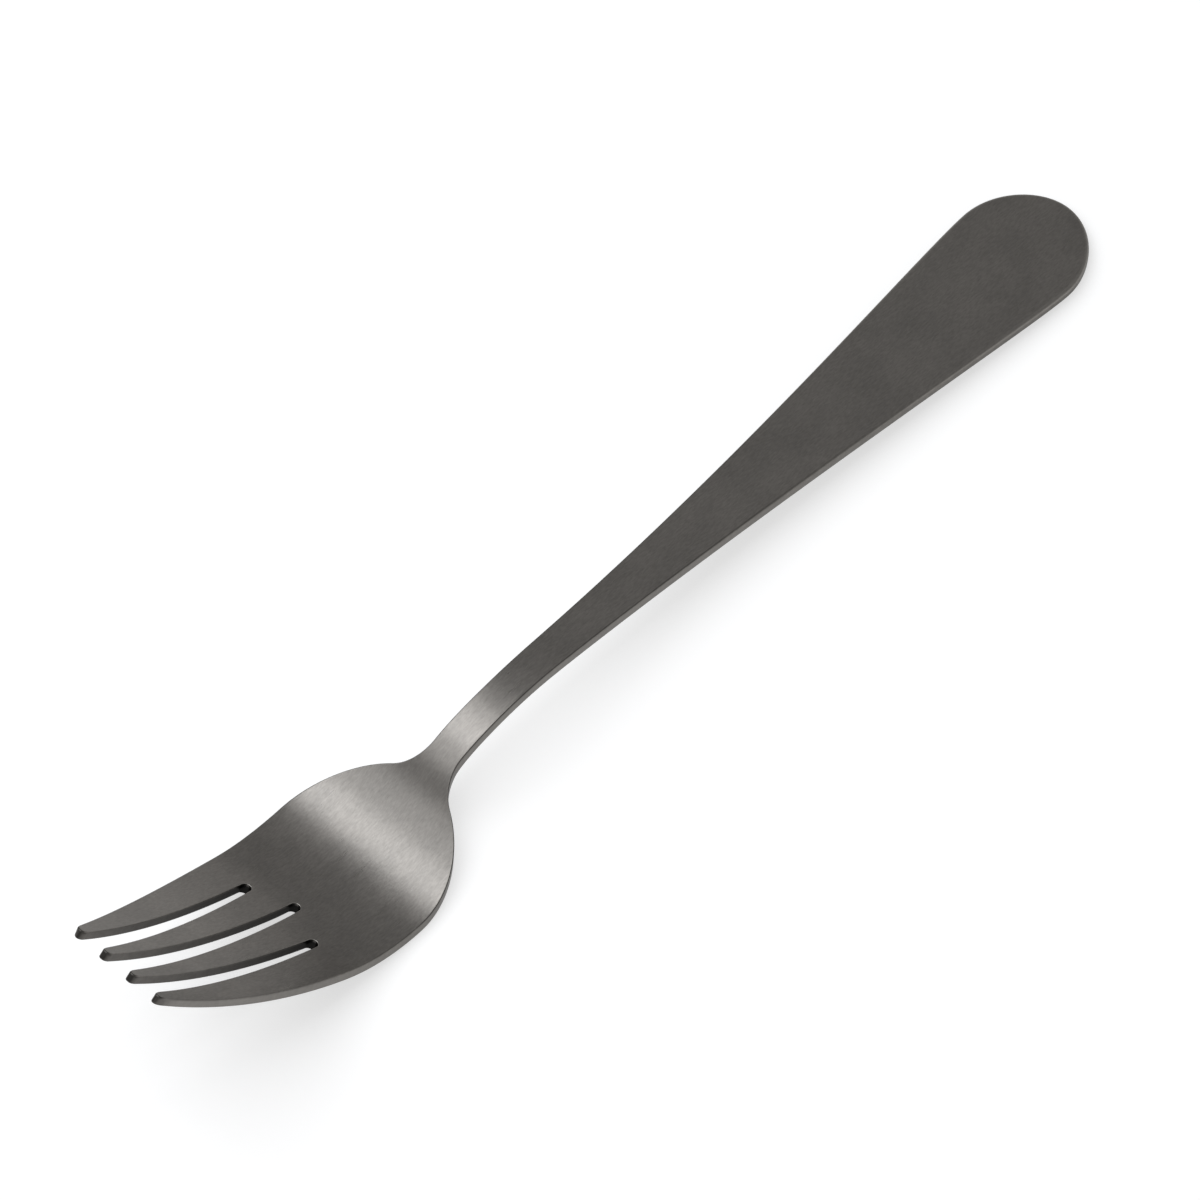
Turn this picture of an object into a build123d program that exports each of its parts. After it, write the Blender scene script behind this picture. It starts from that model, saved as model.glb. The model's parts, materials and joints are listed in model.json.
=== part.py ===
"""A four-tined dinner fork, stamped from one sheet of steel and bent to shape.

The fork lies on a table as it is laid: the end of the handle and the bottom of the
bowl touch the table at z = 0, and the tines rise at the +X end.  One sheet is cut to
an outline, slotted three times, bent at the neck and the bowl, and rounded along its upper edges.
"""

import os
from math import asin, atan2, cos, degrees, hypot, radians, sin, tan

from build123d import *

os.makedirs("parts", exist_ok=True)

# The sheet, in millimetres
sheet = 2.0               # thickness of handle, neck and bowl
tip_sheet = 1.5           # thickness that is left at the points of the tines
edge_round = 0.35         # rounding along the upper edges and at the points

# Side view of the upper face, from the end of the handle to the points
blade_length = 40.0       # flat end of the handle
rise_radius = 1700.0      # the rest of the handle curves up very slightly
rise_angle = 2.55
droop_radius = 55.0       # slow bend down into the neck
droop_angle = 17.5
neck_radius = 18.8        # quick bend down at the neck
neck_angle = 25.4
bowl_radius = 26.7        # bend up in the bowl
bowl_angle = 68.0
tine_radius = 120.0       # the tines curve on upwards
tine_angle = 19.4

# Outline of the handle
end_width = 20.5          # widest place of the handle
end_length = 12.0         # from the end of the handle to its widest place
end_fullness = 0.52       # 0.55 makes the end an ellipse, more makes it squarer
end_run = 10.2            # how far the side runs on level past the widest place
neck_width = 5.2
neck_run = 49.0           # how far the neck's line reaches back into the handle
neck_lead = 11.8          # from the start of the slow bend to the narrow part of the neck
neck_length = 8.4         # narrow part of the neck

# Outline of the head
head_width = 28.0
throat_radius = 6.3       # inside curve between neck and bowl
shoulder_length = 19.8    # from the narrow neck to the widest place of the bowl

# The tines and the three slots between them
slot_width = 1.6          # at the rounded root
slot_start = 0.1          # roots of the outer slots, past the end of the bowl's bend
middle_lead = 3.5         # the middle slot starts this much earlier
tine_root = 5.0           # width of an inner tine at its root
tip_width = 1.5           # width of every tine at its point
tip_gap = 3.5             # gap between two points

# Turning points of the side view: the centres of the bends, one after another
rise = radians(rise_angle)
droop = radians(rise_angle - droop_angle)
fall = droop - radians(neck_angle)
lift = fall + radians(bowl_angle)
handle_x = blade_length + rise_radius * sin(rise)
neck_x = handle_x + droop_radius * sin(rise) - (droop_radius - neck_radius) * sin(droop)
neck_z = sheet + rise_radius - (rise_radius + droop_radius) * cos(rise)
neck_z += (droop_radius - neck_radius) * cos(droop)
bowl_x = neck_x - (neck_radius + bowl_radius) * sin(fall)
bowl_z = neck_z + (neck_radius + bowl_radius) * cos(fall)

# Where the bowl's bend ends and the tines begin, and the points of the tines
joint_x = bowl_x + bowl_radius * sin(lift)
joint_z = bowl_z - bowl_radius * cos(lift)
tip_lift = lift + radians(tine_angle)
tip_x = joint_x + tine_radius * (sin(tip_lift) - sin(lift))
tip_z = joint_z + tine_radius * (cos(lift) - cos(tip_lift))

# Lying tilt: one line touches the end of the handle and the underside of the bowl
tilt = asin((bowl_radius + sheet) / hypot(bowl_x, bowl_z)) - atan2(bowl_z, bowl_x)

# The origin lies on the table, midway between the end of the handle and the points
tip_rise = tip_lift + tilt
left_x = edge_round * cos(tilt) - (sheet - edge_round) * sin(tilt) - edge_round
right_x = tip_x * cos(tilt) - tip_z * sin(tilt) + tip_sheet * sin(tip_rise)
start = (-(left_x + right_x) / 2, 0, 0)
along = (cos(tilt), 0, sin(tilt))
ground = Plane(origin=start, x_dir=along, z_dir=(-sin(tilt), 0, cos(tilt)))
profile = Plane(origin=start, x_dir=along, z_dir=(0, -1, 0))
tines = Plane(
    origin=ground.from_local_coords((joint_x, 0, joint_z)),
    x_dir=(cos(lift + tilt), 0, sin(lift + tilt)),
    z_dir=(-sin(lift + tilt), 0, cos(lift + tilt)),
)

# Outline: half widths and the stations along the handle
end_half = end_width / 2
neck_half = neck_width / 2
head_half = head_width / 2
narrow_x = handle_x + neck_lead
throat_x = narrow_x + neck_length
shoulder_rise = head_half - neck_half
turn_radius = (shoulder_rise**2 + shoulder_length**2) / (2 * shoulder_rise)
turn_angle = degrees(atan2(shoulder_length, turn_radius - shoulder_rise))
shoulder_radius = turn_radius - throat_radius

# Tines: the points set the lean and flare of the slots and the long outer edges
tip_reach = tine_radius * sin(radians(tine_angle))
root_pitch = tine_root + slot_width
tip_pitch = tip_width + tip_gap
slot_root = slot_width / 2
outer_root = slot_start + slot_root
slot_run = tip_reach - outer_root
slot_flare = atan2(tip_gap / 2 - slot_root, slot_run)
slot_lean = atan2(root_pitch - tip_pitch, slot_run)
flank_reach = tip_x - throat_x - shoulder_length
flank_fall = head_half - tip_pitch - tip_width - tip_gap / 2
flank_radius = (flank_reach**2 + flank_fall**2) / (2 * flank_fall)
flank_angle = degrees(asin((flank_reach + 2 * sheet) / flank_radius))


def face_normals(edge):
    """Give the normals of the faces beside an edge, halfway along it."""
    return [face.normal_at(edge @ 0.5) for face in fork.faces() if edge in face.edges()]


def is_sharp(edge):
    """Tell whether the two faces beside an edge meet at a corner."""
    normals = face_normals(edge)
    return normals[0].get_angle(normals[-1]) > 30


def is_below(edge):
    """Tell whether an edge belongs to the underside of the sheet."""
    return min(normal.Z for normal in face_normals(edge)) < -0.3


with BuildPart() as fork:
    # The bent strip, as wide as the head
    with BuildSketch(profile):
        with BuildLine():
            blade_top = Line((0, sheet), (blade_length, sheet))
            rise_top = JernArc(blade_top @ 1, blade_top % 1, rise_radius, rise_angle)
            droop_top = JernArc(rise_top @ 1, rise_top % 1, droop_radius, -droop_angle)
            neck_top = JernArc(droop_top @ 1, droop_top % 1, neck_radius, -neck_angle)
            bowl_top = JernArc(neck_top @ 1, neck_top % 1, bowl_radius, bowl_angle)
            tine_top = JernArc(bowl_top @ 1, bowl_top % 1, tine_radius, tine_angle)
            blade_low = Line((0, 0), (blade_length, 0))
            rise_low = JernArc(blade_low @ 1, blade_low % 1, rise_radius + sheet, rise_angle)
            droop_low = JernArc(rise_low @ 1, rise_low % 1, droop_radius - sheet, -droop_angle)
            neck_low = JernArc(droop_low @ 1, droop_low % 1, neck_radius - sheet, -neck_angle)
            bowl_low = JernArc(neck_low @ 1, neck_low % 1, bowl_radius + sheet, bowl_angle)
            under = (tine_top % 1).rotate(Axis.Z, -90) * tip_sheet
            tine_low = TangentArc(bowl_low @ 1, tine_top @ 1 + under, tangent=bowl_low % 1)
            Line(tine_top @ 1, tine_low @ 1)
            Line((0, 0), (0, sheet))
        make_face()
    extrude(amount=head_width, both=True)

    # The outline that the sheet is cut to, square to the flat handle
    with BuildSketch(ground):
        with BuildLine():
            end_curve = Bezier(
                (0, 0),
                (0, end_half * end_fullness),
                (end_length * (1 - end_fullness), end_half),
                (end_length, end_half),
            )
            side_curve = Bezier(
                end_curve @ 1,
                (end_length + end_run, end_half),
                (narrow_x - neck_run, neck_half),
                (narrow_x, neck_half),
            )
            narrow = Line(side_curve @ 1, (throat_x, neck_half))
            throat = JernArc(narrow @ 1, (1, 0), throat_radius, turn_angle)
            shoulder = JernArc(throat @ 1, throat % 1, shoulder_radius, -turn_angle)
            flank = JernArc(shoulder @ 1, (1, 0), flank_radius, -flank_angle)
            past_tips = Line(flank @ 1, ((flank @ 1).X, 0))
            Line(past_tips @ 1, (0, 0))
        make_face()
        mirror(about=Plane.XZ)
    extrude(amount=4 * bowl_radius, both=True, mode=Mode.INTERSECT)

    # Three slots with round roots, cut square to the sheet where the tines begin
    with BuildSketch(tines):
        with BuildSketch(mode=Mode.PRIVATE) as slot:
            mouth_x = slot_run + middle_lead + bowl_radius
            mouth = slot_root / cos(slot_flare) + mouth_x * tan(slot_flare)
            root_x = -slot_root * sin(slot_flare)
            root_y = slot_root * cos(slot_flare)
            with BuildLine():
                near = Line((mouth_x, mouth), (root_x, root_y))
                bend = ThreePointArc(near @ 1, (-slot_root, 0), (root_x, -root_y))
                far = Line(bend @ 1, (mouth_x, -mouth))
                Line(far @ 1, near @ 0)
            make_face()
        with Locations((outer_root - middle_lead, 0)):
            add(slot.sketch)
        with Locations(Location((outer_root, root_pitch, 0), -degrees(slot_lean))):
            add(slot.sketch)
        with Locations(Location((outer_root, -root_pitch, 0), degrees(slot_lean))):
            add(slot.sketch)
    extrude(amount=bowl_radius, both=True, mode=Mode.SUBTRACT)

    # The upper edges and the corners of the points, rounded
    upper = fork.edges().filter_by(is_sharp).filter_by(is_below, reverse=True)
    fillet(upper, radius=edge_round)

fork.part.label = "fork"
export_step(fork.part, "parts/fork.step")
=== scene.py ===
"""Looks of a four-tined dinner fork: its fine steel surface, its finish and a plain studio.

The fork is one bent sheet.  A place on it is given by s, the way along its upper face from
the end of the handle, by y across it, and by d, the depth below the upper face.  An inset e
is measured from an edge into the steel.  Lengths of the fork are millimetres in the plane of
its flat handle; they are tilted into the lying position and turned into metres when the mesh
is made.
"""

import json
import logging
from dataclasses import dataclass, field
from enum import Enum

import bmesh
import bpy
import numpy as np
from mathutils import Matrix

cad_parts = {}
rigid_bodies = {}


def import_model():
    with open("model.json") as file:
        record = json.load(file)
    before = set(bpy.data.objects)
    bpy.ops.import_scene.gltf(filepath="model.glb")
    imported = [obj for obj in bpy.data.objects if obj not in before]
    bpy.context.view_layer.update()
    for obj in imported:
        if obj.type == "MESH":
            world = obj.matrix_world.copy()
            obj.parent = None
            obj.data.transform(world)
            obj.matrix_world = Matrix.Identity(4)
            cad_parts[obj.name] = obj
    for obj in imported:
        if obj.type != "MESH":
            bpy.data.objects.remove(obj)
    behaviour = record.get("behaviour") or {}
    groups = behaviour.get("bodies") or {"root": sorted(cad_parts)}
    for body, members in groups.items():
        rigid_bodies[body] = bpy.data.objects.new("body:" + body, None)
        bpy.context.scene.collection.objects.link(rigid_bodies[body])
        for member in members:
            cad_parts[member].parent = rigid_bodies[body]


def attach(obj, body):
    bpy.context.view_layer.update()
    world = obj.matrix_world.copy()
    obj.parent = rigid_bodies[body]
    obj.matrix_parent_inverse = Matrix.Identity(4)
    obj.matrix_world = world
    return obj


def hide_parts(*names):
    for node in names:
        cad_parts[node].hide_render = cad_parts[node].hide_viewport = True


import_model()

# Two arrays of the same length, and a colour, point or direction
Pair = tuple[np.ndarray, np.ndarray]
Triple = tuple[float, float, float]

MM = 0.001
# Name of the mesh attribute that holds the painted light and shade of the edges
PAINTED_LIGHT_NAME = "painted_edge_light"
LOG = logging.getLogger("fork")


class Side(Enum):
    """On which side of an edge of a tine the steel lies, seen across the fork."""

    INWARD = -1.0
    OUTWARD = 1.0


class Face(Enum):
    """A face of the sheet, by its column in the band that runs round the edge."""

    UPPER = 0
    LOWER = -1


class Blend(Enum):
    """How a node mixes two colours."""

    COVER = "MIX"
    TINT = "MULTIPLY"


class Sum(Enum):
    """What a node works out from numbers."""

    LARGER = "MAXIMUM"
    PRODUCT = "MULTIPLY"
    PRODUCT_AND_SUM = "MULTIPLY_ADD"


def grid_faces(rows: int, columns: int) -> np.ndarray:
    """Join the points of a grid to faces with four corners.

    Args:
        rows: number of rows.
        columns: number of columns; the points are numbered along the rows.

    Returns:
        The numbers of the corners, one row for each face.
    """
    number = np.arange(rows * columns).reshape(rows, columns)
    corners = [number[:-1, :-1], number[1:, :-1], number[1:, 1:], number[:-1, 1:]]
    return np.stack(corners, axis=-1).reshape(-1, 4)


def placing(right: np.ndarray, up: np.ndarray, back: np.ndarray, origin: np.ndarray) -> Matrix:
    """Give the matrix that places a lamp or a camera, which look along their own -Z.

    Args:
        right: its X axis.
        up: its Y axis.
        back: its Z axis.
        origin: where it stands.

    Returns:
        The matrix.
    """
    turn = np.eye(4)
    turn[:3] = np.stack([right, up, back, origin], axis=1)
    return Matrix(turn.tolist())


@dataclass
class Places:
    """Places on the sheet as equal arrays of s, y, d and of the painted light and shade there."""

    s: np.ndarray
    y: np.ndarray
    d: np.ndarray
    tone: np.ndarray

    def rows(self, part: slice | int) -> "Places":
        """Give some of the rows."""
        return Places(self.s[part], self.y[part], self.d[part], self.tone[part])

    def column(self, face: Face) -> "Places":
        """Give the column that borders a face of the sheet."""
        k = face.value
        return Places(self.s[:, k], self.y[:, k], self.d[:, k], self.tone[:, k])

    def joined(self, *others: "Places") -> "Places":
        """Give these rows followed by the rows of others."""
        group = (self, *others)
        return Places(*(np.concatenate([getattr(p, name) for p in group])
                        for name in ("s", "y", "d", "tone")))

    def between(self, other: "Places", share: np.ndarray) -> "Places":
        """Fill the space up to other places in straight lines.

        Args:
            other: as many places on the far side.
            share: shares of the way, one for each new column.

        Returns:
            A grid with one row for each pair and one column for each share.
        """
        def mix(a: np.ndarray, b: np.ndarray) -> np.ndarray:
            """Go from a to b by each share."""
            return a[:, None] + share * (b - a)[:, None]
        return Places(mix(self.s, other.s), mix(self.y, other.y), mix(self.d, other.d),
                      mix(self.tone, other.tone))


@dataclass
class SideView:
    """Side view of the sheet: a straight blade and five bends that pass into each other.

    The tines thin to tip_sheet, from thin_lead before the joint of bowl and tines.  The end of
    the handle reaches farthest back about back_depth below its upper face.
    """

    sheet: float = 2.0
    tip_sheet: float = 1.4
    thin_lead: float = 15.0
    blade_length: float = 40.0
    rise_radius: float = 1700.0
    rise_angle: float = 2.55
    droop_radius: float = 55.0
    droop_angle: float = 17.5
    neck_radius: float = 18.8
    neck_angle: float = 25.4
    bowl_radius: float = 26.7
    bowl_angle: float = 68.0
    tine_radius: float = 120.0
    tine_angle: float = 19.4
    ease: float = 8.0
    back_depth: float = 0.5
    fine_points: int = 6001
    newton_steps: int = 6
    joint: float = field(init=False)
    end: float = field(init=False)
    tilt: float = field(init=False)
    shift: float = field(init=False)
    fine: np.ndarray = field(init=False)
    lean: np.ndarray = field(init=False)
    bend: np.ndarray = field(init=False)
    top_x: np.ndarray = field(init=False)
    top_z: np.ndarray = field(init=False)

    def __post_init__(self) -> None:
        """Follow the upper face in fine steps and find how the fork lies.

        The slope grows evenly along each bend.  It is averaged over the length ease, so that
        one bend passes softly into the next, and its cosine and sine are summed up to x and
        z.  The fork is tilted until its handle's end and its bowl touch the table, and
        shifted until the origin lies under the middle of its length.
        """
        radii = np.array([self.rise_radius, self.droop_radius, self.neck_radius, self.bowl_radius,
                          self.tine_radius])
        turns = np.radians([self.rise_angle, -self.droop_angle, -self.neck_angle, self.bowl_angle,
                            self.tine_angle])
        runs = np.concatenate([[self.blade_length], np.abs(turns) * radii])
        start = np.concatenate([[0.0], np.cumsum(runs)])
        slopes = np.concatenate([[0.0, 0.0], np.cumsum(turns)])
        self.joint, self.end = float(start[-2]), float(start[-1])

        self.fine = np.linspace(0.0, self.end, self.fine_points)
        step = self.fine[1]
        half = round(self.ease / 2 / step)
        weight = np.hanning(2 * half + 1)
        plain = np.interp(self.fine, start, slopes)
        wide = np.pad(plain, half, mode="reflect", reflect_type="odd")
        self.lean = np.convolve(wide, weight / weight.sum(), mode="valid")
        self.bend = np.gradient(self.lean, step)
        middle = (self.lean[1:] + self.lean[:-1]) / 2
        self.top_x = np.concatenate([[0.0], np.cumsum(step * np.cos(middle))])
        self.top_z = self.sheet + np.concatenate([[0.0], np.cumsum(step * np.sin(middle))])

        under = self.fine[self.fine > self.blade_length]
        depth = np.full_like(under, self.sheet)
        self.tilt = -float(np.arctan2(self.plan_z(under, depth), self.plan_x(under, depth)).min())
        self.shift = 0.0
        ends = self.lying(np.array([0.0, self.end]), np.zeros(2),
                          np.array([self.back_depth, self.tip_sheet]))
        self.shift = -float(ends[:, 0].sum()) / 2

    @property
    def handle_x(self) -> float:
        """Give x where the handle ends and the slow bend down to the neck begins."""
        return self.blade_length + self.rise_radius * float(np.sin(np.radians(self.rise_angle)))

    def slope(self, s: np.ndarray) -> np.ndarray:
        """Give the slope of the upper face."""
        return np.interp(s, self.fine, self.lean)

    def plan_x(self, s: np.ndarray, d: np.ndarray) -> np.ndarray:
        """Give x in the handle's plane: that of the upper face, plus depth times sine."""
        return np.interp(s, self.fine, self.top_x) + d * np.sin(self.slope(s))

    def plan_z(self, s: np.ndarray, d: np.ndarray) -> np.ndarray:
        """Give the height over the handle's plane: the upper face less depth times cosine."""
        return np.interp(s, self.fine, self.top_z) - d * np.cos(self.slope(s))

    def way(self, x: np.ndarray, d: np.ndarray) -> np.ndarray:
        """Find s for places along the handle's plane, by a few steps of Newton's rule.

        Args:
            x: places in the plane of the handle.
            d: their depths below the upper face.

        Returns:
            The ways along the upper face.
        """
        s = np.interp(x, self.top_x, self.fine)
        for _ in range(self.newton_steps):
            rate = np.cos(self.slope(s)) * (1 + d * np.interp(s, self.fine, self.bend))
            s = s + (x - self.plan_x(s, d)) / rate
        return s

    def near_end(self, s: np.ndarray, run: float) -> np.ndarray:
        """Tell how near each way is to the points: 0 up to a run before them, 1 at the end."""
        return np.clip(1 - (self.end - s) / run, 0.0, 1.0)

    def thickness(self, s: np.ndarray) -> np.ndarray:
        """Give the thickness, which falls evenly from the bottom of the bowl to the points.

        Args:
            s: ways along the upper face.

        Returns:
            Thicknesses in millimetres.
        """
        first = self.joint - self.thin_lead
        share = np.clip((s - first) / (self.end - first), 0.0, 1.0)
        return self.sheet - (self.sheet - self.tip_sheet) * share

    def bend_radius(self, run: np.ndarray) -> np.ndarray:
        """Give the radius of the bend: the bowl's before the joint and the tines' after it."""
        return np.where(run < 0, self.bowl_radius, self.tine_radius)

    def level(self, s: np.ndarray) -> np.ndarray:
        """Give the way along the plane that touches the sheet at the joint: radius times sine.

        Args:
            s: ways along the upper face.

        Returns:
            Ways along that plane, from the joint.
        """
        run = s - self.joint
        radius = self.bend_radius(run)
        return radius * np.sin(run / radius)

    def unlevel(self, x: float) -> float:
        """Give s for a way along the plane that touches the sheet at the joint."""
        radius = float(self.bend_radius(x))
        return self.joint + radius * float(np.arcsin(x / radius))

    def lying(self, s: np.ndarray, y: np.ndarray, d: np.ndarray) -> np.ndarray:
        """Turn places on the sheet into points of the lying fork.

        Args:
            s: ways along the upper face.
            y: ways across.
            d: depths.

        Returns:
            Points in millimetres, one row each.
        """
        x, z = self.plan_x(s, d), self.plan_z(s, d)
        turned_x = x * np.cos(self.tilt) - z * np.sin(self.tilt) + self.shift
        turned_z = x * np.sin(self.tilt) + z * np.cos(self.tilt)
        return np.stack([turned_x, y, turned_z], axis=-1)


@dataclass
class Outline:
    """Outline that the sheet is cut to, square to the handle, on the +Y side."""

    end_width: float = 20.8
    end_length: float = 12.0
    end_fullness: float = 0.52
    end_run: float = 10.2
    neck_width: float = 5.2
    neck_run: float = 49.0
    neck_lead: float = 11.8
    neck_length: float = 8.4
    head_width: float = 28.0
    throat_radius: float = 6.3
    shoulder_length: float = 19.8
    end_rows: int = 30
    handle_rows: int = 96
    neck_rows: int = 14
    throat_rows: int = 16
    shoulder_rows: int = 36

    def narrow_x(self, view: SideView) -> float:
        """Give x where the neck has become narrow."""
        return view.handle_x + self.neck_lead

    def widest_x(self, view: SideView) -> float:
        """Give x at the widest place of the head."""
        return self.narrow_x(view) + self.neck_length + self.shoulder_length

    @staticmethod
    def bezier(points: np.ndarray, rows: int) -> Pair:
        """Follow a cubic curve: the four points weighted by powers of t and 1 - t.

        Args:
            points: its four points.
            rows: number of steps.

        Returns:
            Points on the curve, and its directions there.
        """
        t = np.linspace(0.0, 1.0, rows + 1)[:, None]
        a, b, c, e = points
        line = (1 - t)**3 * a + 3 * t * (1 - t)**2 * b + 3 * t**2 * (1 - t) * c + t**3 * e
        pace = (1 - t)**2 * (b - a) + 2 * t * (1 - t) * (c - b) + t**2 * (e - c)
        return line, pace / np.linalg.norm(pace, axis=1, keepdims=True)

    @staticmethod
    def arc(centre: tuple[float, float], radius: float, turn: np.ndarray) -> Pair:
        """Follow an arc by the angle of its direction.

        Args:
            centre: its centre.
            radius: its radius, less than zero where the centre lies on the left.
            turn: angles of the direction, one for each row.

        Returns:
            Points on the arc, and its directions there.
        """
        ways = np.stack([np.cos(turn), np.sin(turn)], axis=1)
        left = np.stack([-ways[:, 1], ways[:, 0]], axis=1)
        return np.array(centre) + radius * left, ways

    def line(self, view: SideView) -> Pair:
        """Follow the outline from the end of the handle to the widest place of the head.

        Two cubic curves make the handle, a straight line the neck, and two arcs that touch
        each other the throat and the shoulder.

        Args:
            view: side view, which says where the handle ends.

        Returns:
            Points in the handle's plane, and the normals that point into the steel.
        """
        end, neck, head = self.end_width / 2, self.neck_width / 2, self.head_width / 2
        narrow = self.narrow_x(view)
        throat = narrow + self.neck_length
        rise = head - neck
        turn_radius = (rise**2 + self.shoulder_length**2) / (2 * rise)
        turn = np.arctan2(self.shoulder_length, turn_radius - rise)
        shoulder_radius = turn_radius - self.throat_radius

        rounded = np.array([
            [0.0, 0.0],
            [0.0, end * self.end_fullness],
            [self.end_length * (1 - self.end_fullness), end],
            [self.end_length, end],
        ])
        tapered = np.array([
            [self.end_length, end],
            [self.end_length + self.end_run, end],
            [narrow - self.neck_run, neck],
            [narrow, neck],
        ])
        along = np.linspace(narrow, throat, self.neck_rows + 1)
        level = np.zeros_like(along)
        parts = (
            self.bezier(rounded, self.end_rows),
            self.bezier(tapered, self.handle_rows),
            (np.stack([along, level + neck], axis=1), np.stack([level + 1, level], axis=1)),
            self.arc((throat, neck + self.throat_radius), -self.throat_radius,
                     np.linspace(0.0, turn, self.throat_rows + 1)),
            self.arc((self.widest_x(view), head - shoulder_radius), shoulder_radius,
                     np.linspace(turn, 0.0, self.shoulder_rows + 1)),
        )
        points = np.concatenate([parts[0][0][:1], *(line[1:] for line, _ways in parts)])
        ways = np.concatenate([parts[0][1][:1], *(ways[1:] for _line, ways in parts)])
        return points, np.stack([ways[:, 1], -ways[:, 0]], axis=1)


@dataclass
class EdgeBand:
    """Section of the sheet's edge: a rounded upper corner, a wall and a rounded lower corner.

    Where the upper corner meets the wall, the painted light and shade takes the share blend
    from the corner.
    """

    corner_steps: int = 5
    wall_steps: int = 4
    blend: float = 0.4

    def section(self, thick: np.ndarray, upper: np.ndarray, lower: np.ndarray) -> Pair:
        """Give inset and depth along the section for each row of the path.

        A corner is a quarter circle: inset by radius times one less the sine, and deep by
        radius times one less the cosine.

        Args:
            thick: thickness of the sheet in each row.
            upper: rounding of the upper corner in each row.
            lower: rounding of the lower corner in each row.

        Returns:
            Insets and depths, one row for each row of the path.
        """
        turn = np.linspace(0.0, np.pi / 2, self.corner_steps + 1)
        step = np.linspace(0.0, 1.0, self.wall_steps + 1)[1:-1]
        thick, upper, lower = thick[:, None], upper[:, None], lower[:, None]
        inset = [upper * (1 - np.sin(turn)), 0 * upper * step, lower * (1 - np.cos(turn))]
        wall = upper + (thick - lower - upper) * step
        depth = [upper * (1 - np.cos(turn)), wall, thick - lower * (1 - np.sin(turn))]
        return np.concatenate(inset, axis=1), np.concatenate(depth, axis=1)

    def tone(self, corner: np.ndarray, wall: np.ndarray) -> np.ndarray:
        """Give the painted light and shade along the section for each row of the path.

        The tone is that of the corner on the upper rounding and that of the wall below it,
        and fades to none where the section meets the faces of the sheet.

        Args:
            corner: tone of the upper corner in each row.
            wall: tone of the wall in each row.

        Returns:
            Tones from -1, dark, to 1, bright, one row for each row of the path.
        """
        steps = self.corner_steps + 1
        line = np.ones(steps)
        line[[0, -1]] = 0.0, self.blend
        below = np.ones(self.wall_steps - 1 + steps)
        below[-1] = 0.0
        rim = corner[:, None] * line
        rim[:, -1] += (1 - self.blend) * wall
        return np.concatenate([rim, wall[:, None] * below], axis=1)


@dataclass(frozen=True)
class PaintedEdgeLight:
    """Painted light and shade along the steel's edges, from -1, dark, to 1, bright.

    A corner is the rounded upper edge and a wall the cut side of the sheet below it.  A run
    is the way over which a tone changes.  The tones of a point add to those of its edges.
    """

    # Painted highlight on the handle end's corner, faint painted shade on its wall
    end_corner: float = 0.30
    end_wall: float = -0.05
    # Painted shade line on the rim's corner, painted light on its wall
    rim_corner: float = -0.45
    rim_wall: float = 0.45
    # Painted shade line on the flank's corner, painted light on its wall, painted shade at the
    # point
    flank_corner: float = -0.25
    flank_wall: float = 0.35
    flank_tip_wall: float = -0.60
    flank_run: float = 3.0
    # Painted highlight round the root of a slot
    root_corner: float = 0.70
    root_run: float = 1.5
    # Painted shade on the walls of the slots, fainter towards the points
    slot_wall: float = -1.0
    slot_tip_wall: float = -0.25
    # Painted shade on the corners and walls of the points, in place of their highlight
    point_corner: float = -0.85
    point_wall: float = -0.60
    point_run: float = 1.0


@dataclass
class Tines:
    """Four tines: three flared slots with round roots, and points with long rounded corners.

    The rounding of a point's corner is tip_stretch times as long as it is wide.
    """

    slot_width: float = 1.6
    slot_start: float = 0.1
    middle_lead: float = 3.5
    tine_root: float = 5.0
    tip_width: float = 1.5
    tip_gap: float = 3.5
    tip_stretch: float = 1.9
    bowl_rows: int = 26
    root_rows: int = 9
    web_rows: int = 5
    tine_rows: int = 56
    corner_rows: int = 8

    @property
    def root(self) -> float:
        """Give the radius of a slot's root."""
        return self.slot_width / 2

    @property
    def outer_root(self) -> float:
        """Give the centre of an outer slot's root, past the joint."""
        return self.slot_start + self.root

    @property
    def root_pitch(self) -> float:
        """Give the way across from the middle slot's root to an outer slot's root."""
        return self.tine_root + self.slot_width

    @property
    def fan_half(self) -> float:
        """Give y of the fork's outer edge at the points: two tines, and one and a half gaps."""
        return 2 * self.tip_width + 1.5 * self.tip_gap

    def angles(self, view: SideView) -> tuple[float, float]:
        """Work out how the slots widen and lean, so that the points get their width and gaps.

        Args:
            view: side view, which says how long the slots are.

        Returns:
            The flare of the slots and the lean of the outer ones, in radians.
        """
        run = float(view.level(np.array(view.end))) - self.outer_root
        flare = np.arctan2(self.tip_gap / 2 - self.root, run)
        lean = np.arctan2(self.root_pitch - self.tip_width - self.tip_gap, run)
        return float(flare), float(lean)


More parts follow.
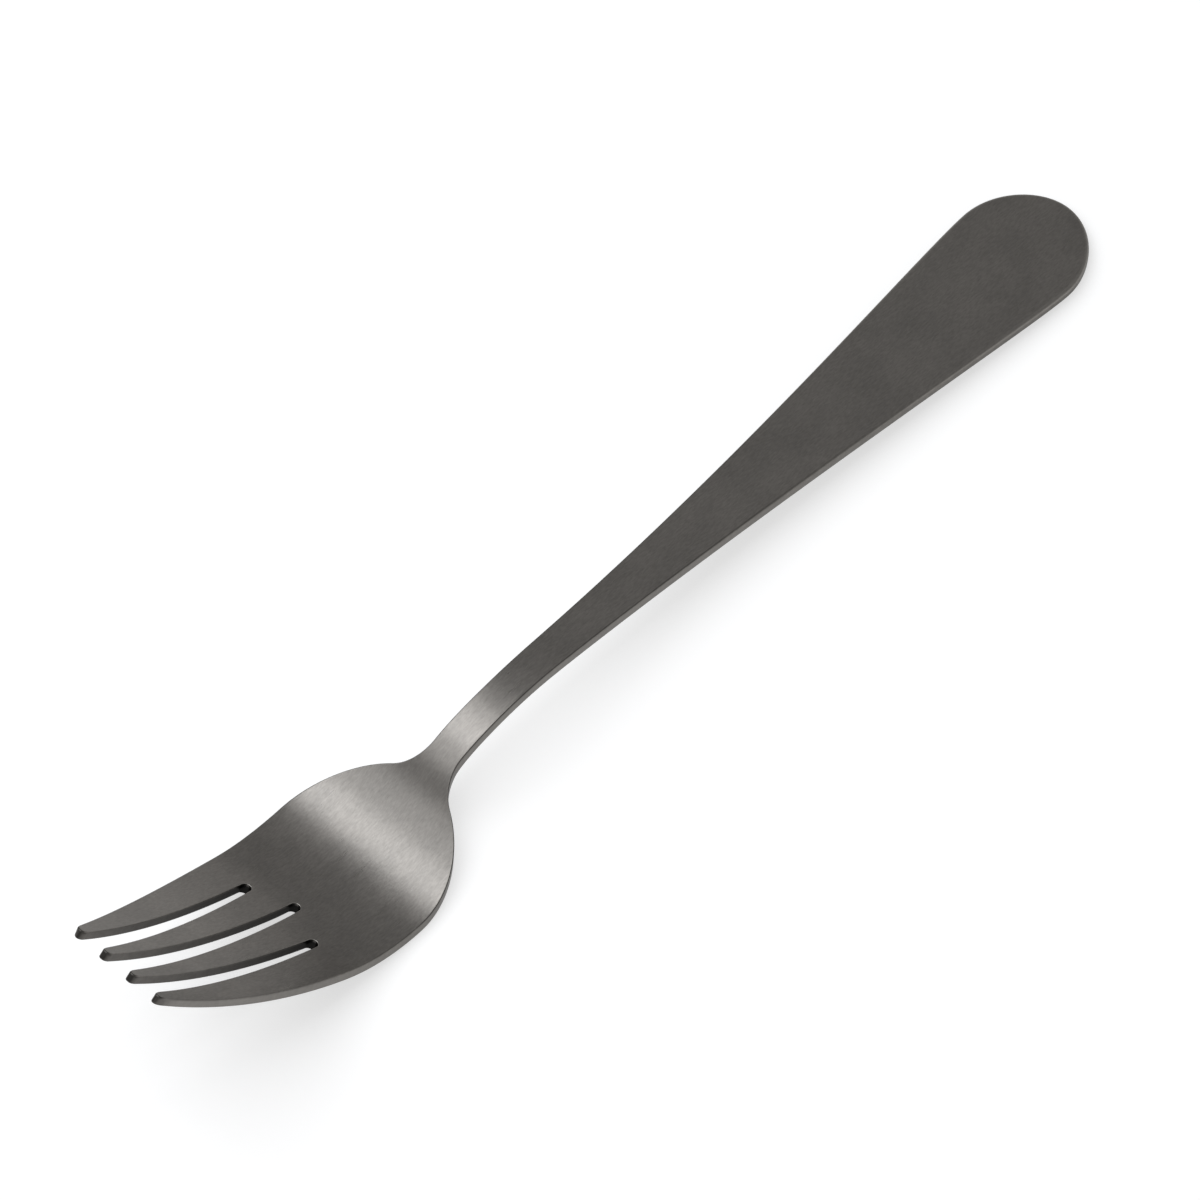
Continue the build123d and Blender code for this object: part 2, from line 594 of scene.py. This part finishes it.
@dataclass
class TineEdge:
    """One long edge of a tine, and the way that it rounds the tine's point."""

    view: SideView
    tines: Tines
    tones: PaintedEdgeLight
    steel: Side
    rounding: float
    tip_round: float

    def tone(self, s: np.ndarray) -> Pair:
        """Give the painted light and shade of the upper corner and of the wall at each way."""
        raise NotImplementedError

    def across(self, s: np.ndarray, d: np.ndarray) -> Pair:
        """Give y of the edge and its slope against s at each place."""
        raise NotImplementedError

    def straight(self, s: np.ndarray, e: np.ndarray, d: np.ndarray) -> Pair:
        """Set the edge back into the steel, square to itself in the plane of s and y.

        Args:
            s: way of each row.
            e: insets.
            d: depths.

        Returns:
            s and y of the section's points.
        """
        y, rate = self.across(s[:, None] + 0 * d, d)
        turn = np.arctan(rate)
        sign = self.steel.value
        return s[:, None] - e * sign * np.sin(turn), y + e * sign * np.cos(turn)

    def corner(self, share: np.ndarray, e: np.ndarray, d: np.ndarray) -> Pair:
        """Round the corner of the point by a quarter of an ellipse, longer than it is wide.

        It leaves the edge where both have the same slope, and touches the end.

        Args:
            share: shares of the arc, one for each row.
            e: insets.
            d: depths.

        Returns:
            s and y of the section's points.
        """
        radius, sign = self.tip_round, self.steel.value
        length = self.tines.tip_stretch * radius
        y, rate = self.across(np.full_like(d, self.view.end - length), d)
        rate = rate * self.tines.tip_stretch
        first = sign * np.arctan(rate)
        turn = first + share[:, None] * (np.pi / 2 - first)
        middle = y + sign * radius * np.sqrt(1 + rate**2)
        back = self.view.end - length + (length - e) * np.sin(turn)
        return back, middle - sign * (radius - e) * np.cos(turn)

    def last(self) -> float:
        """Find where the corner of the point begins.

        Returns:
            The way along the upper face.
        """
        length = self.tines.tip_stretch * self.tip_round
        _y, rate = self.across(np.array([self.view.end - length]), np.zeros(1))
        first = self.steel.value * np.arctan(rate[0] * self.tines.tip_stretch)
        return float(self.view.end - length * (1 - np.sin(first)))


@dataclass
class FlankEdge(TineEdge):
    """Outer edge of the head, from its widest place to the point: one long arc."""

    outline: Outline

    def tone(self, s: np.ndarray) -> Pair:
        """Give a faint painted shade line on the corner, and painted light on the wall, which
        turns to painted shade at the point.

        Args:
            s: ways along the upper face.

        Returns:
            Tones of the upper corner and of the wall.
        """
        tones = self.tones
        near = self.view.near_end(s, tones.flank_run)
        point = self.view.near_end(s, tones.point_run)
        corner = tones.flank_corner * (1 - near) + tones.point_corner * point
        return corner, tones.flank_wall + (tones.flank_tip_wall - tones.flank_wall) * near

    def across(self, s: np.ndarray, d: np.ndarray) -> Pair:
        """Give y and slope of the arc that falls from the widest place to the outer points.

        Args:
            s: ways along the upper face.
            d: depths, since the outline is cut square to the handle.

        Returns:
            y, and its rate of change with s.
        """
        view = self.view
        widest = self.outline.widest_x(view)
        half = self.outline.head_width / 2
        reach = float(view.plan_x(np.array(view.end), np.array(0.0))) - widest
        fall = half - self.tines.fan_half
        radius = (reach**2 + fall**2) / (2 * fall)
        sine = (view.plan_x(s, d) - widest) / radius
        cosine = np.sqrt(1 - sine**2)
        return half - radius * (1 - cosine), -sine / cosine * np.cos(view.slope(s))


@dataclass
class SlotEdge(TineEdge):
    """One edge of a slot: half of its round root, and a straight flared side."""

    centre_x: float
    centre_y: float
    angle: float

    def tone(self, s: np.ndarray) -> Pair:
        """Give a painted highlight on the corner round the root, and painted shade on the wall
        that fades along the tine; the point gets more painted shade.

        Args:
            s: ways along the upper face.

        Returns:
            Tones of the upper corner and of the wall.
        """
        tones = self.tones
        root = self.view.unlevel(self.centre_x)
        share = np.clip((s - root) / (self.view.end - root), 0.0, 1.0)
        point = self.view.near_end(s, tones.point_run)
        corner = tones.root_corner * np.exp(-np.clip(s - root, 0.0, None) / tones.root_run)
        wall = tones.slot_wall + (tones.slot_tip_wall - tones.slot_wall) * share
        return corner + tones.point_corner * point, wall + tones.point_wall * point

    def across(self, s: np.ndarray, d: np.ndarray) -> Pair:
        """Give y and slope of the straight line that touches the root's circle.

        Args:
            s: ways along the upper face.
            d: depths, which make no difference to a slot that is square to the sheet.

        Returns:
            y, and its rate of change with s.
        """
        x = self.view.level(s) - self.centre_x
        root = self.steel.value * self.tines.root
        y = self.centre_y + (root + x * np.sin(self.angle)) / np.cos(self.angle)
        run = s - self.view.joint
        turn = run / self.view.bend_radius(run)
        return y + 0 * d, np.tan(self.angle) * np.cos(turn) + 0 * d

    def arc(self, share: np.ndarray, e: np.ndarray) -> Pair:
        """Follow the root's circle from its deepest place to where the side begins.

        Args:
            share: shares of the arc, one for each row.
            e: insets, which widen the circle.

        Returns:
            s and y of the section's points.
        """
        sign = self.steel.value
        turn = share[:, None] * (np.pi / 2 - sign * self.angle)
        radius = self.tines.root + e
        s = self.view.unlevel(self.centre_x) - radius * np.cos(turn)
        return s, self.centre_y + sign * radius * np.sin(turn)


@dataclass(frozen=True)
class Noise:
    """A noise texture: how often it changes in a metre along each axis, and how fine it is."""

    scale: Triple
    detail: float
    roughness: float


class NodeSheet:
    """A material's or the world's nodes, added and joined one at a time."""

    # Numbers of the Mix node's sockets for colours
    AMOUNT, FIRST, SECOND, RESULT = 0, 6, 7, 2

    def __init__(self, tree: bpy.types.NodeTree) -> None:
        """Start with an empty tree."""
        self.tree = tree
        tree.nodes.clear()

    def feed(self, socket: bpy.types.NodeSocket, value: object) -> None:
        """Join an output to a socket, or set the socket to a constant.

        Args:
            socket: a node's input.
            value: an output or a constant; a colour may have three numbers.
        """
        if isinstance(value, bpy.types.NodeSocket):
            self.tree.links.new(value, socket)
        elif isinstance(value, tuple) and len(value) == 3 and socket.type == "RGBA":
            socket.default_value = (*value, 1.0)
        else:
            socket.default_value = value

    def add(self, kind: str, inputs: dict | None = None, **settings: object) -> bpy.types.Node:
        """Add one node.

        Args:
            kind: the node's type.
            inputs: constants or outputs for its sockets, by name or number.
            settings: its own properties.

        Returns:
            The node.
        """
        node = self.tree.nodes.new(kind)
        for name, value in settings.items():
            setattr(node, name, value)
        for name, value in (inputs or {}).items():
            self.feed(node.inputs[name], value)
        return node

    def math(self, operation: Sum, *values: object) -> bpy.types.NodeSocket:
        """Add a sum, product or other operation and give its output."""
        node = self.add("ShaderNodeMath", dict(enumerate(values)), operation=operation.value)
        return node.outputs[0]

    def noise(self, place: bpy.types.NodeSocket, noise: Noise) -> bpy.types.NodeSocket:
        """Lay a noise over the places of a surface.

        Args:
            place: the places' output.
            noise: the texture.

        Returns:
            The noise's output, about one half.
        """
        stretch = self.add("ShaderNodeMapping", {"Vector": place, "Scale": noise.scale})
        node = self.add("ShaderNodeTexNoise", {
            "Vector": stretch.outputs["Vector"], "Scale": 1.0, "Detail": noise.detail,
            "Roughness": noise.roughness})
        return node.outputs["Fac"]

    def mix(self, kind: Blend, amount: object, first: object,
            second: object) -> bpy.types.NodeSocket:
        """Mix two colours.

        Args:
            kind: how they mix.
            amount: share of the second colour.
            first: a colour or an output.
            second: a colour or an output.

        Returns:
            The mixed colour's output.
        """
        node = self.add("ShaderNodeMix", data_type="RGBA", blend_type=kind.value)
        self.feed(node.inputs[self.AMOUNT], amount)
        self.feed(node.inputs[self.FIRST], first)
        self.feed(node.inputs[self.SECOND], second)
        return node.outputs[self.RESULT]

    def ramp(self, value: object, stops: tuple[float, float],
             colours: tuple[Triple, Triple]) -> bpy.types.NodeSocket:
        """Turn a number into a colour between two stops.

        Args:
            value: the number's output.
            stops: the two numbers.
            colours: the colours at the two numbers.

        Returns:
            The colour's output.
        """
        node = self.add("ShaderNodeValToRGB", {0: value})
        for point, stop, colour in zip(node.color_ramp.elements, stops, colours):
            point.position = stop
            point.color = (*colour, 1.0)
        return node.outputs[0]


@dataclass(frozen=True)
class BrushedSteel:
    """Dark satin steel with a fine brush grain along the fork.

    The steel varies from pale to deep in clouds.  At the tone 1 its colour turns to a painted
    highlight colour, and at -1 to a painted shade colour.  Glance is its tint where it is seen
    at a flat angle.
    """

    pale: Triple = (0.190, 0.179, 0.166)
    deep: Triple = (0.158, 0.150, 0.140)
    # Colour of a painted highlight, at the tone 1
    painted_highlight: Triple = (0.300, 0.286, 0.268)
    # Colour of painted shade, at the tone -1
    painted_shade: Triple = (0.012, 0.0115, 0.011)
    glance: float = 0.57
    grain: Noise = Noise(scale=(1100.0, 4200.0, 1100.0), detail=3.0, roughness=0.6)
    streak: Noise = Noise(scale=(220.0, 1400.0, 220.0), detail=2.0, roughness=0.5)
    cloud: Noise = Noise(scale=(120.0, 120.0, 120.0), detail=5.0, roughness=0.65)
    cloud_stops: tuple[float, float] = (0.30, 0.72)
    grain_stops: tuple[float, float] = (0.25, 0.75)
    grain_dark: float = 0.84
    grain_light: float = 1.15
    roughness: float = 0.30
    streak_roughness: float = 0.10
    cloud_roughness: float = 0.06
    streak_relief: float = 0.35
    relief_strength: float = 0.25
    relief_height: float = 0.00003

    def material(self) -> bpy.types.Material:
        """Make the node material.

        Returns:
            The finish: grain and cloudiness on Object coordinates, and tones along the edges.
        """
        steel = bpy.data.materials.new("dark_satin_steel")
        steel.use_nodes = True
        sheet = NodeSheet(steel.node_tree)
        place = sheet.add("ShaderNodeTexCoord").outputs["Object"]
        grain = sheet.noise(place, self.grain)
        streak = sheet.noise(place, self.streak)
        cloud = sheet.noise(place, self.cloud)
        # The painted light and shade of the edges
        tone = sheet.add("ShaderNodeAttribute", attribute_name=PAINTED_LIGHT_NAME).outputs["Fac"]

        shade = sheet.ramp(cloud, self.cloud_stops, (self.deep, self.pale))
        greys = (self.grain_dark,) * 3, (self.grain_light,) * 3
        lines = sheet.ramp(grain, self.grain_stops, greys)
        brushed = sheet.mix(Blend.TINT, 1.0, shade, lines)
        # Painted light and shade: the tone mixes in the highlight colour above 0 and the shade
        # colour below 0
        bright = sheet.mix(Blend.COVER, sheet.math(Sum.LARGER, tone, 0.0), brushed, self.painted_highlight)
        dark = sheet.math(Sum.LARGER, sheet.math(Sum.PRODUCT, tone, -1.0), 0.0)
        colour = sheet.mix(Blend.COVER, dark, bright, self.painted_shade)

        # A noise is about one half, so half of both shares comes off again
        smooth = self.roughness - (self.streak_roughness + self.cloud_roughness) / 2
        uneven = sheet.math(Sum.PRODUCT_AND_SUM, streak, self.streak_roughness, smooth)
        rough = sheet.math(Sum.PRODUCT_AND_SUM, cloud, self.cloud_roughness, uneven)
        relief = sheet.math(Sum.PRODUCT_AND_SUM, streak, self.streak_relief, grain)
        bump = sheet.add("ShaderNodeBump", {
            "Height": relief, "Strength": self.relief_strength, "Distance": self.relief_height})
        surface = sheet.add("ShaderNodeBsdfPrincipled", {
            "Base Color": colour, "Metallic": 1.0, "Roughness": rough,
            "Specular Tint": (self.glance,) * 3, "Normal": bump.outputs["Normal"]})
        sheet.add("ShaderNodeOutputMaterial", {"Surface": surface.outputs["BSDF"]})
        return steel


@dataclass(frozen=True)
class WhiteTable:
    """Matt paint that glows white to camera and mirrors, and is clear from underneath."""

    colour: Triple = (0.50, 0.50, 0.50)
    glow: float = 0.58

    def material(self) -> bpy.types.Material:
        """Make the node material.

        Returns:
            The paint.
        """
        paint = bpy.data.materials.new("white_table")
        paint.use_nodes = True
        sheet = NodeSheet(paint.node_tree)
        ray = sheet.add("ShaderNodeLightPath").outputs
        seen = sheet.math(Sum.LARGER, ray["Is Camera Ray"], ray["Is Glossy Ray"])
        seen = sheet.math(Sum.LARGER, seen, ray["Is Transmission Ray"])
        strength = sheet.math(Sum.PRODUCT, seen, self.glow)
        glow = sheet.add("ShaderNodeEmission", {"Strength": strength})
        matt = sheet.add("ShaderNodeBsdfDiffuse", {"Color": self.colour})
        lit = sheet.add("ShaderNodeAddShader", {0: matt.outputs[0], 1: glow.outputs[0]})
        clear = sheet.add("ShaderNodeBsdfTransparent")
        under = sheet.add("ShaderNodeNewGeometry").outputs["Backfacing"]
        both = sheet.add("ShaderNodeMixShader", {0: under, 1: lit.outputs[0], 2: clear.outputs[0]})
        sheet.add("ShaderNodeOutputMaterial", {"Surface": both.outputs[0]})
        return paint


@dataclass
class Fork:
    """The whole fork, stamped and bent from one sheet.

    The edges are rounded more at the end of the handle, over the length end_fade, and at the
    points, over the length point_run.  Points of the mesh closer than weld become one.
    """

    view: SideView = field(default_factory=SideView)
    outline: Outline = field(default_factory=Outline)
    tines: Tines = field(default_factory=Tines)
    band: EdgeBand = field(default_factory=EdgeBand)
    tones: PaintedEdgeLight = field(default_factory=PaintedEdgeLight)
    finish: BrushedSteel = field(default_factory=BrushedSteel)
    end_round: float = 0.7
    end_lower_round: float = 0.6
    end_fade: float = 108.0
    rim_round: float = 0.18
    slot_round: float = 0.10
    lower_round: float = 0.20
    outer_tip_round: float = 0.85
    tip_round: float = 0.6
    point_round: float = 0.22
    point_run: float = 2.5
    weld: float = 0.001
    columns: int = 10

    def edges(self) -> tuple[FlankEdge, SlotEdge, SlotEdge, SlotEdge]:
        """Give the tines' edges from the outside of the fork to its middle.

        Returns:
            The flank, both edges of the outer slot, and the edge of the middle slot.
        """
        tines = self.tines
        flare, lean = tines.angles(self.view)
        root_x, root_y = tines.outer_root, tines.root_pitch
        shared = self.view, tines, self.tones
        corner = self.slot_round, self.tip_round
        return (
            FlankEdge(*shared, Side.INWARD, self.rim_round, self.outer_tip_round, self.outline),
            SlotEdge(*shared, Side.OUTWARD, *corner, root_x, root_y, flare - lean),
            SlotEdge(*shared, Side.INWARD, *corner, root_x, root_y, -flare - lean),
            SlotEdge(*shared, Side.OUTWARD, *corner, root_x - tines.middle_lead, 0.0, flare),
        )

    def outline_strip(self) -> Places:
        """Carry the edge's section along the outline, up to the widest place of the head.

        Each point of the section lies inset along the outline's normal in the handle's
        plane, at the way where the sheet passes that place at the point's depth.

        Returns:
            The strip, one row for each row of the outline.
        """
        points, inward = self.outline.line(self.view)
        fade = np.clip(1 - points[:, 0] / self.end_fade, 0.0, 1.0)
        soft = fade**2 * (3 - 2 * fade)
        upper = self.rim_round + (self.end_round - self.rim_round) * soft
        lower = self.lower_round + (self.end_lower_round - self.lower_round) * soft
        thick = np.full(len(points), self.view.sheet)
        e, d = self.band.section(thick, upper, lower)
        # Painted light and shade of the rim: a highlight on the handle end's corner, a shade line
        # on the corner along the rest, and light on the wall
        tones = self.tones
        corner = tones.rim_corner + (tones.end_corner - tones.rim_corner) * soft
        wall = tones.rim_wall + (tones.end_wall - tones.rim_wall) * soft
        x = points[:, :1] + e * inward[:, :1]
        y = points[:, 1:] + e * inward[:, 1:]
        return Places(self.view.way(x, d), y, d, self.band.tone(corner, wall))

    def edge_strip(self, edge: TineEdge, shares: np.ndarray, along: np.ndarray) -> Places:
        """Carry the edge's section along one edge of a tine to the end of its point.

        Args:
            edge: the edge.
            shares: shares of the slot's root to follow first, if any.
            along: ways of the rows between the root and the corner of the point.

        Returns:
            The strip, one row for each share, way and step of the corner.
        """
        turn = np.linspace(0.0, 1.0, self.tines.corner_rows + 1)[1:]
        whole = np.concatenate([np.full(len(shares), along[0]), along,
                                np.full(len(turn), self.view.end)])
        near = self.view.near_end(whole, self.point_run)
        upper = edge.rounding + (self.point_round - edge.rounding) * near**2
        lower = np.full_like(whole, self.lower_round)
        e, d = self.band.section(self.view.thickness(whole), upper, lower)
        a, b = len(shares), len(shares) + len(along)
        parts = [edge.straight(along, e[a:b], d[a:b]), edge.corner(turn, e[b:], d[b:])]
        if len(shares):
            parts.insert(0, edge.arc(shares, e[:a]))
        s = np.concatenate([part[0] for part in parts])
        y = np.concatenate([part[1] for part in parts])
        # The painted light and shade of the edge
        return Places(s, y, d, self.band.tone(*edge.tone(s[:, 0])))

    def patches(self) -> list[Places]:
        """Work out the surface of the +Y half.

        The edge's section runs in one band from the end of the handle round the head, the
        outer tine, the outer slot and the inner tine to the root of the middle slot.  Each
        face of the sheet is filled in rows between the band's borders: one grid towards the
        middle and one towards the outside, which part at the outer slot.

        Returns:
            Grids of places.
        """
        tines, view = self.tines, self.view
        flank, outer, inner, middle = self.edges()
        swing = tines.root + self.slot_round
        quarter = np.linspace(0.0, np.pi / 2, tines.root_rows + 1)
        middle_s, outer_s = view.unlevel(middle.centre_x), view.unlevel(outer.centre_x)
        rim = self.outline_strip()

        # Ways of the rows, from the widest place of the head to the outer slots
        bowl = np.linspace(rim.s[-1, 0], middle_s - swing, tines.bowl_rows + 1)[1:]
        middle_root = middle_s - swing * np.cos(quarter[1:])
        web = np.linspace(middle_s, outer_s - swing, tines.web_rows + 1)[1:]
        outer_root = outer_s - swing * np.cos(quarter[1:])
        step = np.linspace(0.0, 1.0, tines.tine_rows + 1)[1:]
        body = np.concatenate([bowl, middle_root, web, outer_root])
        none, shares = np.zeros(0), quarter / quarter[-1]

        def to_point(edge: TineEdge) -> np.ndarray:
            """Give the ways of an edge's rows from the outer slot's root to the point."""
            return outer_s + step * (edge.last() - outer_s)

        flank_strip = self.edge_strip(flank, none, np.concatenate([body, to_point(flank)]))
        outer_strip = self.edge_strip(outer, shares, to_point(outer))
        inner_strip = self.edge_strip(inner, shares, to_point(inner))
        middle_strip = self.edge_strip(
            middle, shares, np.concatenate([web, outer_root, to_point(middle)]))

        # The band round the edge
        share = (1 - np.cos(np.linspace(0.0, np.pi, self.columns + 1))) / 2
        outside = rim.joined(flank_strip)
        back = slice(None, None, -1)
        band = outside.joined(
            self.tip(flank_strip, outer_strip, share), outer_strip.rows(back),
            inner_strip.rows(slice(1, None)), self.tip(inner_strip, middle_strip, share),
            middle_strip.rows(back))

        # The faces, each in two grids that meet in a line up to the outer slot
        grids = [band]
        for face in Face:
            border = outside.column(face)
            slot_out, slot_in = outer_strip.column(face), inner_strip.column(face)
            centre = middle_strip.column(face)
            rows, parted, split = len(border.s), len(slot_out.s), len(centre.s)
            ratio = slot_out.y[0] / border.y[rows - parted]
            plain = border.rows(slice(0, rows - parted))
            part_line = Places(plain.s, ratio * plain.y, plain.d, 0 * plain.tone)
            head = border.rows(slice(0, rows - split))
            middle_line = Places(head.s, 0 * head.y, head.d, 0 * head.tone)
            near = middle_line.joined(centre)
            grids.append(near.between(part_line.joined(slot_in), share))
            grids.append(part_line.joined(slot_out).between(border, share))
        return grids

    @staticmethod
    def tip(first: Places, second: Places, share: np.ndarray) -> Places:
        """Carry the edge's section straight across a point, between the ends of two strips.

        Args:
            first: strip that ends on one side of the point.
            second: strip that ends on the other side.
            share: shares of the way across, with both sides.

        Returns:
            The strip across the point, without both sides.
        """
        across = first.rows(-1).between(second.rows(-1), share[1:-1])
        return Places(across.s.T, across.y.T, across.d.T, across.tone.T)

    def build(self) -> bpy.types.Object:
        """Make the mesh: both halves of every grid, welded and turned outwards.

        Returns:
            The fork as one object at the origin.
        """
        points, tone, faces, count = [], [], [], 0
        for grid in self.patches():
            flat = self.view.lying(grid.s.ravel(), grid.y.ravel(), grid.d.ravel()) * MM
            corners = grid_faces(*grid.s.shape)
            for half in (1.0, -1.0):
                points.append(flat * (1.0, half, 1.0))
                tone.append(grid.tone.ravel())
                faces.append(corners + count)
                count += len(flat)
        mesh = bpy.data.meshes.new("fork_body")
        mesh.from_pydata(np.concatenate(points), [], np.concatenate(faces).tolist())
        # The painted light and shade goes on the mesh as an attribute of its points
        tones = mesh.attributes.new(PAINTED_LIGHT_NAME, "FLOAT", "POINT")
        tones.data.foreach_set("value", np.concatenate(tone).astype(np.float32))
        work = bmesh.new()
        work.from_mesh(mesh)
        bmesh.ops.remove_doubles(work, verts=work.verts, dist=self.weld * MM)
        bmesh.ops.recalc_face_normals(work, faces=work.faces)
        open_edges = sum(1 for edge in work.edges if not edge.is_manifold)
        work.to_mesh(mesh)
        work.free()
        mesh.polygons.foreach_set("use_smooth", np.ones(len(mesh.polygons), dtype=bool))
        piece = bpy.data.objects.new("fork_body", mesh)
        bpy.context.scene.collection.objects.link(piece)
        LOG.info("fork_body: %d faces, %d open edges", len(mesh.polygons), open_edges)
        return piece

    def dress(self, piece: bpy.types.Object) -> None:
        """Give the piece its finish and set it in the frame.

        Args:
            piece: the fork's mesh object.
        """
        piece.data.materials.append(self.finish.material())
        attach(piece, "root")
        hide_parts("fork")


@dataclass(frozen=True)
class Softbox:
    """A long lamp over the fork, turned towards the bowl.

    Seen from aim, a place in the bowl, it fills the angles from first to last, in degrees from
    plumb towards the points.  Back is its lean along Y, less than zero away from the camera.
    """

    name: str
    first: float
    last: float
    radiance: float
    colour: Triple = (0.98, 1.0, 1.03)
    length: float = 0.6
    distance: float = 0.55
    back: float = -0.36
    aim: Triple = (0.045, 0.0, 0.005)

    def hang(self) -> bpy.types.Object:
        """Hang the lamp in its place.

        Returns:
            The lamp.
        """
        middle = np.radians((self.first + self.last) / 2)
        level = np.sqrt(1 - self.back**2)
        away = np.array([level * np.sin(middle), self.back, level * np.cos(middle)])
        side = np.cross([0.0, 1.0, 0.0], away)
        side = side / np.linalg.norm(side)
        lamp = bpy.data.lights.new(self.name, "AREA")
        lamp.color = self.colour
        lamp.shape = "RECTANGLE"
        lamp.size = 2 * self.distance * level * np.tan(np.radians(self.last - self.first) / 2)
        lamp.size_y = self.length
        lamp.energy = self.radiance * np.pi * lamp.size * lamp.size_y
        box = bpy.data.objects.new(self.name, lamp)
        box.matrix_world = placing(side, np.cross(away, side), away,
                                   np.array(self.aim) + self.distance * away)
        box.visible_camera = False
        bpy.context.scene.collection.objects.link(box)
        return box


@dataclass
class Studio:
    """White table, soft light from above and the camera, all in metres."""

    table: WhiteTable = field(default_factory=WhiteTable)
    floor_half: float = 6.0
    floor_drop: float = 0.0001
    floor_lines: int = 3
    dome_low: float = 0.70
    dome_high: float = 0.47
    dome_stops: tuple[float, float] = (0.05, 0.28)
    softboxes: tuple[Softbox, ...] = (
        Softbox("key_softbox", first=-10.5, last=11.0, radiance=3.5),
        Softbox("fill_softbox", first=11.0, last=39.0, radiance=1.5),
    )
    sensor: float = 36.0
    lens: float = 209.13
    clip: tuple[float, float] = (0.05, 50.0)
    eye: Triple = (0.384083, 0.361257, 0.870158)
    right: Triple = (-0.68263, 0.73075, -0.00471)
    down: Triple = (0.62505, 0.58052, -0.52183)
    ahead: Triple = (-0.37859, -0.35916, -0.85304)

    def floor(self) -> bpy.types.Object:
        """Lay the table: a flat grid, just under the fork.

        Returns:
            The floor.
        """
        way = np.linspace(-self.floor_half, self.floor_half, self.floor_lines)
        x, y = np.meshgrid(way, way, indexing="ij")
        points = np.stack([x.ravel(), y.ravel(), np.full(x.size, -self.floor_drop)], axis=1)
        mesh = bpy.data.meshes.new("table_top")
        mesh.from_pydata(points, [], grid_faces(*x.shape).tolist())
        mesh.materials.append(self.table.material())
        floor = bpy.data.objects.new("table_top", mesh)
        bpy.context.scene.collection.objects.link(floor)
        return floor

    def dome(self) -> None:
        """Light the room: pale near the horizon, dimmer overhead."""
        scene = bpy.context.scene
        scene.world = bpy.data.worlds.new("studio")
        scene.world.use_nodes = True
        sheet = NodeSheet(scene.world.node_tree)
        way = sheet.add("ShaderNodeTexCoord").outputs["Generated"]
        height = sheet.add("ShaderNodeSeparateXYZ", {0: way}).outputs["Z"]
        greys = (self.dome_low,) * 3, (self.dome_high,) * 3
        shade = sheet.ramp(height, self.dome_stops, greys)
        light = sheet.add("ShaderNodeBackground", {"Color": shade, "Strength": 1.0})
        sheet.add("ShaderNodeOutputWorld", {"Surface": light.outputs[0]})

    def camera(self) -> bpy.types.Object:
        """Set the camera, far off with a long lens, looking down along the fork.

        Returns:
            The camera, made the scene's own.
        """
        data = bpy.data.cameras.new("camera")
        data.sensor_width = self.sensor
        data.lens = self.lens
        data.clip_start, data.clip_end = self.clip
        eye = bpy.data.objects.new("camera", data)
        eye.matrix_world = placing(self.right, np.negative(self.down), np.negative(self.ahead),
                                   self.eye)
        bpy.context.scene.collection.objects.link(eye)
        bpy.context.scene.camera = eye
        return eye


def main() -> None:
    """Build the fork and the studio."""
    logging.basicConfig(level=logging.INFO, format="%(name)s: %(message)s")
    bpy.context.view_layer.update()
    fork = Fork()
    piece = fork.build()
    fork.dress(piece)
    studio = Studio()
    lamps = [softbox.hang() for softbox in studio.softboxes]
    for item in (studio.floor(), studio.camera(), *lamps):
        LOG.info("studio: %s", item.name)
    studio.dome()
    bpy.context.scene.view_settings.view_transform = "Standard"


if __name__ == "__main__":
    main()
